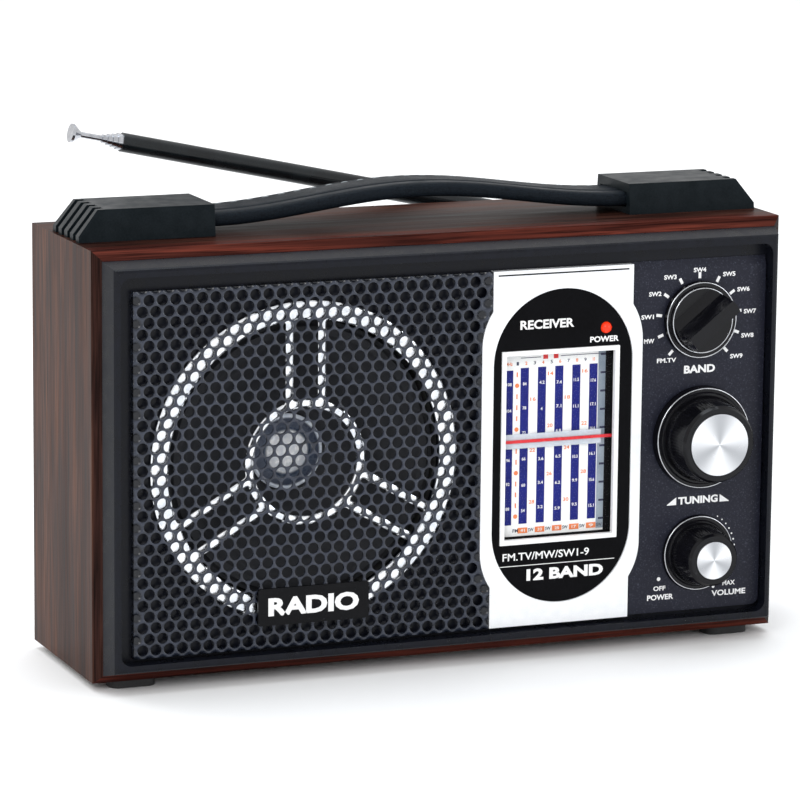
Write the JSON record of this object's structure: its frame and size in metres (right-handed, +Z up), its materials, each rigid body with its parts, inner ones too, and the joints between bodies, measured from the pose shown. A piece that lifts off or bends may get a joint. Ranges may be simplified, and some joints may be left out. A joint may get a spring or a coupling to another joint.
{
  "type": "shortwave receiver",
  "caption": "Table-top shortwave receiver: wooden cabinet, perforated grille over a bright speaker guard, dial, knobs, carrying strap and telescopic aerial.",
  "frame": {"origin": "centre of the footprint, on the plane that the feet stand on", "axes": "+X to the right seen from the front, +Y to the back, +Z up"},
  "size_m": [0.27, 0.1045, 0.1949],
  "materials": {
    "walnut_film": "satin vinyl wood grain",
    "pine": "raw softwood",
    "rubber_foot": "matte",
    "rear_plastic": "fine texture",
    "frame_plastic": "satin",
    "panel_plastic": "fine sparkle",
    "grille_steel": "satin black",
    "badge_black": "gloss",
    "guard_chrome": "mirror",
    "fascia_silver": "satin silver",
    "dial_black": "gloss",
    "dial_white": "gloss",
    "clear_lens": "clear",
    "dial_print": "printed card",
    "pointer_red": "gloss",
    "lamp_red": "lit lamp",
    "knob_black": "satin gloss",
    "cap_aluminium": "spun",
    "handle_plastic": "fine grain",
    "strap_vinyl": "leatherette, stitched",
    "aerial_black": "satin black",
    "aerial_chrome": "polished",
    "zinc_steel": "zinc plated",
    "magnet_ferrite": "sintered",
    "cone_paper": "pressed pulp",
    "cap_bright": "polished",
    "board_phenolic": "phenolic board",
    "ferrite_black": "sintered",
    "coil_copper": "enamelled wire",
    "cream_plastic": "moulded",
    "cord_nylon": "braided",
    "shaft_brass": "turned",
    "cell_jacket": "printed jacket"
  },
  "bodies": {
    "cabinet": {"top_board": "walnut_film", "bottom_board": "walnut_film", "left_board": "walnut_film", "right_board": "walnut_film", "corner_blocks": "pine", "feet": "rubber_foot", "rear_cover": "rear_plastic", "battery_tray": "rear_plastic", "battery_cells": "cell_jacket", "battery_contacts": "zinc_steel", "ac_inlet": "rear_plastic", "earphone_jack": "rear_plastic", "power_transformer": "zinc_steel", "main_board": "board_phenolic", "ferrite_rod": "ferrite_black", "ferrite_coil": "coil_copper", "tuning_capacitor": "cream_plastic", "cord_pulleys": "cream_plastic", "dial_cord": "cord_nylon", "band_switch": "board_phenolic", "volume_control": "zinc_steel", "case_screws": "zinc_steel", "front_frame": "frame_plastic", "control_panel": "panel_plastic", "speaker_grille": "grille_steel", "grille_badge": "badge_black", "speaker_guard": "guard_chrome", "speaker_basket": "zinc_steel", "speaker_magnet": "magnet_ferrite", "dial_fascia": "fascia_silver", "dial_plate": "dial_black", "dial_frame": "dial_white", "dial_lens": "clear_lens", "dial_card": "dial_print", "pointer_rail": "zinc_steel", "power_lamp": "lamp_red", "handle_mount_left": "handle_plastic", "handle_mount_right": "handle_plastic", "handle_strap": "strap_vinyl", "aerial_bracket": "rear_plastic"},
    "band_control": {"band_knob": "knob_black", "band_shaft": "shaft_brass"},
    "tuning_control": {"tuning_knob": "knob_black", "tuning_knob_cap": "cap_aluminium", "tuning_shaft": "shaft_brass"},
    "volume_knob_body": {"volume_knob": "knob_black", "volume_knob_cap": "cap_aluminium", "volume_shaft": "shaft_brass"},
    "pointer": {"dial_pointer": "pointer_red"},
    "drum": {"dial_drum": "cream_plastic"},
    "diaphragm": {"speaker_cone": "cone_paper", "dust_cap": "cap_bright"},
    "battery_door_body": {"battery_door": "rear_plastic"},
    "aerial_base": {"aerial_swivel": "aerial_chrome"},
    "aerial_mast": {"aerial_outer_tube": "aerial_black"},
    "aerial_stage_1": {"aerial_section_1": "aerial_chrome"},
    "aerial_stage_2": {"aerial_section_2": "aerial_chrome"},
    "aerial_stage_3": {"aerial_section_3": "aerial_chrome"},
    "aerial_stage_4": {"aerial_section_4": "aerial_chrome"},
    "aerial_stage_5": {"aerial_section_5": "aerial_chrome"}
  },
  "joints": [
    {"name": "band_turn", "type": "hinge", "parent": "cabinet", "child": "band_control", "pos_m": [0.0999, -0.03175, 0.1235], "axis": [0, 1, 0], "range_deg": [-189, 85]},
    {"name": "tuning_turn", "type": "hinge", "parent": "cabinet", "child": "tuning_control", "pos_m": [0.1012, -0.03175, 0.079], "axis": [0, 1, 0], "range_deg": [-515, 515]},
    {"name": "volume_turn", "type": "hinge", "parent": "cabinet", "child": "volume_knob_body", "pos_m": [0.1012, -0.03175, 0.0346], "axis": [0, 1, 0], "range_deg": [-40, 250]},
    {"name": "pointer_travel", "type": "slide", "parent": "cabinet", "child": "pointer", "axis": [0, 0, 1], "range_m": [-0.0326, 0.0326]},
    {"name": "drum_turn", "type": "hinge", "parent": "cabinet", "child": "drum", "pos_m": [0.042, -0.03175, 0.104], "axis": [0, 1, 0], "range_deg": [-86, 86]},
    {"name": "cone_travel", "type": "slide", "parent": "cabinet", "child": "diaphragm", "axis": [0, -1, 0], "range_m": [-0.0008, 0.0008], "stiffness_N_per_m": 1500},
    {"name": "battery_door_open", "type": "hinge", "parent": "cabinet", "child": "battery_door_body", "pos_m": [-0.024, 0.03985, 0.015], "axis": [-1, 0, 0], "range_deg": [0, 95]},
    {"name": "aerial_swivel_turn", "type": "hinge", "parent": "cabinet", "child": "aerial_base", "pos_m": [0.112, 0.04825, 0.1422], "axis": [0, 1, 0], "range_deg": [-12, 150]},
    {"name": "aerial_tilt", "type": "hinge", "parent": "aerial_base", "child": "aerial_mast", "pos_m": [0.112, 0.04825, 0.1422], "axis": [-0.2096, 0, -0.9778], "range_deg": [0, 90]},
    {"name": "aerial_slide_1", "type": "slide", "parent": "aerial_mast", "child": "aerial_stage_1", "axis": [-0.9778, 0, 0.2096], "range_m": [0, 0.17]},
    {"name": "aerial_slide_2", "type": "slide", "parent": "aerial_stage_1", "child": "aerial_stage_2", "axis": [-0.9778, 0, 0.2096], "range_m": [0, 0.17]},
    {"name": "aerial_slide_3", "type": "slide", "parent": "aerial_stage_2", "child": "aerial_stage_3", "axis": [-0.9778, 0, 0.2096], "range_m": [0, 0.17]},
    {"name": "aerial_slide_4", "type": "slide", "parent": "aerial_stage_3", "child": "aerial_stage_4", "axis": [-0.9778, 0, 0.2096], "range_m": [0, 0.17]},
    {"name": "aerial_slide_5", "type": "slide", "parent": "aerial_stage_4", "child": "aerial_stage_5", "axis": [-0.9778, 0, 0.2096], "range_m": [0, 0.17]}
  ],
  "couplings": [
    {"joint": "pointer_travel", "follows": "tuning_turn", "m_per_rad": 0.0036},
    {"joint": "drum_turn", "follows": "tuning_turn", "ratio": -0.16364}
  ]
}
